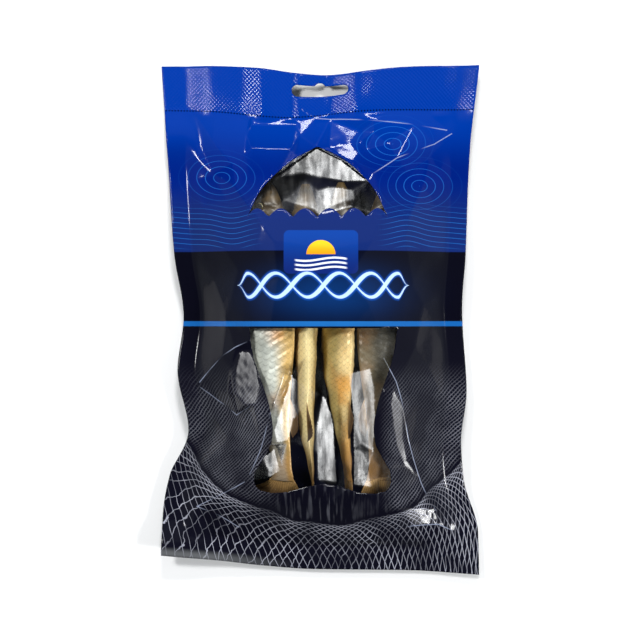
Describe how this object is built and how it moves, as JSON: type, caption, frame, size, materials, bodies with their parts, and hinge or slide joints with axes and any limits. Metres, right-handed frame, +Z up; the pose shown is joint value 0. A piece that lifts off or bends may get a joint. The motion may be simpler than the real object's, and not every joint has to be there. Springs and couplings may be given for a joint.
{
  "type": "pack of dried roach",
  "caption": "Sealed plastic pouch of dried roach lying on its back: puckered pillow body, flat welded edges and a flat header with a hang slot.",
  "frame": {"origin": "middle of the pack's bounding box, on the surface that it lies on", "axes": "+Z up out of the shown side, +Y from the bottom weld towards the header with the hang slot, +X to the shown side's right"},
  "size_m": [0.18, 0.288, 0.0425],
  "materials": {
    "printed_film": "glossy printed film, royal blue above and navy below",
    "clear_film": "clear glossy film",
    "dried_fish": "dry silvery skin, golden brown at the belly and fins"
  },
  "bodies": {
    "root": {"pouch": "printed_film"}
  },
  "joints": []
}
